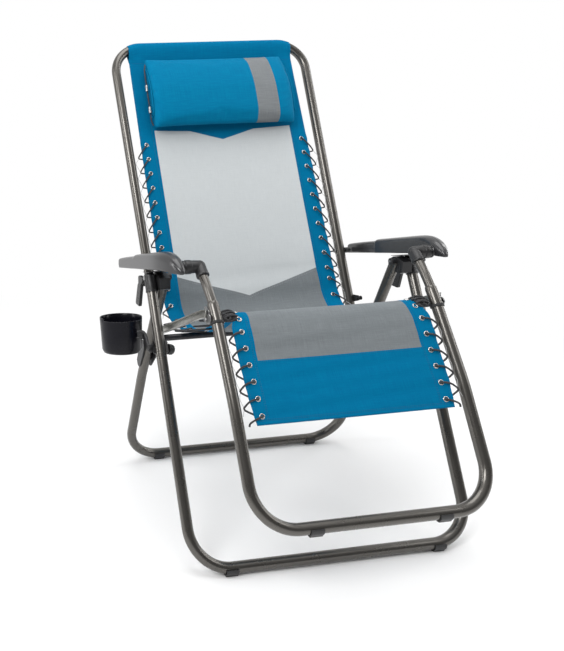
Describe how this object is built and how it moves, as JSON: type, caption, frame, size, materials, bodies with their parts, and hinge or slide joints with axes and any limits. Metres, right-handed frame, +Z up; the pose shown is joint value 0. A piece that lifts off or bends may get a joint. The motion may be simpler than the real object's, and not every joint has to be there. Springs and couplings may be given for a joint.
{
  "type": "zero gravity recliner",
  "caption": "Folding zero gravity recliner with a laced fabric sling, linked footrest, padded armrests, lock levers, sliding headrest pillow and a clamp-on cup holder.",
  "frame": {"origin": "on the floor, in the middle of the whole width and the whole depth as the chair stands open. The cup holder is part of the width, so the chair's own centre line stands 51 mm to the +X side of the origin; the front floor bar's centre is 313.8 mm in front of it", "axes": "+Z up, -Y is the way the sitter faces, +X is to the right of a viewer standing in front of the chair and looking at it"},
  "size_m": [0.806, 0.9356, 1.1651],
  "materials": {
    "frame_tube": "gloss",
    "dark_steel": "satin",
    "bare_steel": "satin",
    "fastener": "satin",
    "black_plastic": "matte",
    "armrest_plastic": "satin",
    "cup_plastic": "gloss",
    "black_rubber": "matte",
    "sling_fabric": "matte",
    "grey_fabric": "matte",
    "mesh_fabric": "matte",
    "elastic_cord": "matte",
    "eyelet_metal": "polished"
  },
  "bodies": {
    "rear_legs": {"rear_leg_tube": "frame_tube", "lock_housing_right": "black_plastic", "lock_housing_left": "black_plastic", "apex_bolt_right": "fastener", "apex_bolt_left": "fastener", "rear_leg_bracket_right": "dark_steel", "rear_leg_bracket_left": "dark_steel", "seat_axle_tube": "dark_steel", "floor_clip_rear_right": "black_plastic", "floor_clip_rear_left": "black_plastic"},
    "front_legs": {"front_leg_tube": "frame_tube", "floor_clip_front_right": "black_plastic", "floor_clip_front_left": "black_plastic", "cup_holder": "cup_plastic", "cup_holder_arm": "black_plastic"},
    "cup_knob": {"cup_clamp_knob": "black_plastic"},
    "seat": {"seat_rail_right": "bare_steel", "seat_rail_left": "bare_steel", "knee_bolt_right": "fastener", "knee_bolt_left": "fastener", "back_pivot_bolt_right": "fastener", "back_pivot_bolt_left": "fastener", "seat_sling": "grey_fabric"},
    "back": {"back_frame_tube": "frame_tube", "back_bracket_right": "dark_steel", "back_bracket_left": "dark_steel", "arm_bolt_right": "fastener", "arm_bolt_left": "fastener", "back_sling": "sling_fabric", "back_lace_right": "elastic_cord", "back_lace_left": "elastic_cord"},
    "footrest": {"footrest_tube": "frame_tube", "footrest_upper_tube_right": "frame_tube", "footrest_upper_tube_left": "frame_tube", "footrest_clip_right": "black_plastic", "footrest_clip_left": "black_plastic", "knee_ring_right": "black_rubber", "knee_ring_left": "black_rubber", "knee_lug_right": "bare_steel", "knee_lug_left": "bare_steel", "elbow_cap_right": "black_plastic", "elbow_cap_left": "black_plastic", "footrest_sling": "sling_fabric", "footrest_lace_right": "elastic_cord", "footrest_lace_left": "elastic_cord"},
    "arm_right": {"armrest_right": "armrest_plastic", "arm_bushing_right": "black_plastic"},
    "arm_left": {"armrest_left": "armrest_plastic", "arm_bushing_left": "black_plastic"},
    "shoe_right": {"slider_shoe_right": "black_plastic"},
    "shoe_left": {"slider_shoe_left": "black_plastic"},
    "lever_right": {"lock_lever_right": "black_plastic"},
    "lever_left": {"lock_lever_left": "black_plastic"},
    "headrest": {"headrest_pillow": "sling_fabric"}
  },
  "joints": [
    {"name": "recline", "type": "hinge", "parent": "seat", "child": "back", "pos_m": [0.051, 0.0883, 0.4717], "axis": [-1, 0, 0], "range_deg": [-22, 22]},
    {"name": "seat_tilt", "type": "hinge", "parent": "rear_legs", "child": "seat", "pos_m": [0.051, 0.0092, 0.432], "axis": [-1, 0, 0], "range_deg": [-20, 20]},
    {"name": "footrest_lift", "type": "hinge", "parent": "seat", "child": "footrest", "pos_m": [0.051, -0.2225, 0.5546], "axis": [-1, 0, 0], "range_deg": [-25, 25]},
    {"name": "armrest_right_pivot", "type": "hinge", "parent": "back", "child": "arm_right", "pos_m": [0.351, 0.1729, 0.5835], "axis": [-1, 0, 0], "range_deg": [-22.5, 22.5]},
    {"name": "armrest_left_pivot", "type": "hinge", "parent": "back", "child": "arm_left", "pos_m": [-0.249, 0.1729, 0.5835], "axis": [-1, 0, 0], "range_deg": [-22.5, 22.5]},
    {"name": "shoe_right_pivot", "type": "hinge", "parent": "rear_legs", "child": "shoe_right", "pos_m": [0.376, -0.0298, 0.601], "axis": [-1, 0, 0], "range_deg": [-20, 20]},
    {"name": "shoe_left_pivot", "type": "hinge", "parent": "rear_legs", "child": "shoe_left", "pos_m": [-0.274, -0.0298, 0.601], "axis": [-1, 0, 0], "range_deg": [-20, 20]},
    {"name": "leg_fold", "type": "hinge", "parent": "rear_legs", "child": "front_legs", "pos_m": [0.051, -0.0298, 0.601], "axis": [1, 0, 0], "range_deg": [0, 36]},
    {"name": "lock_lever_right_turn", "type": "hinge", "parent": "rear_legs", "child": "lever_right", "pos_m": [0.381, 0.0062, 0.582], "axis": [1, 0, 0], "range_deg": [0, 25]},
    {"name": "lock_lever_left_turn", "type": "hinge", "parent": "rear_legs", "child": "lever_left", "pos_m": [-0.279, 0.0062, 0.582], "axis": [1, 0, 0], "range_deg": [0, 25]},
    {"name": "cup_clamp_knob_turn", "type": "hinge", "parent": "front_legs", "child": "cup_knob", "pos_m": [-0.2838, -0.1021, 0.452], "axis": [0.8605, 0.3602, -0.3602], "range_deg": [-180, 180]},
    {"name": "headrest_slide", "type": "slide", "parent": "back", "child": "headrest", "axis": [0, -0.4422, -0.8969], "range_m": [0, 0.14]}
  ],
  "couplings": [
    {"joint": "seat_tilt", "follows": "recline", "ratio": 0.88},
    {"joint": "footrest_lift", "follows": "recline", "ratio": 1.12},
    {"joint": "armrest_right_pivot", "follows": "recline", "ratio": -1},
    {"joint": "armrest_left_pivot", "follows": "recline", "ratio": -1},
    {"joint": "shoe_right_pivot", "follows": "recline", "ratio": 0.88},
    {"joint": "shoe_left_pivot", "follows": "recline", "ratio": 0.88}
  ]
}
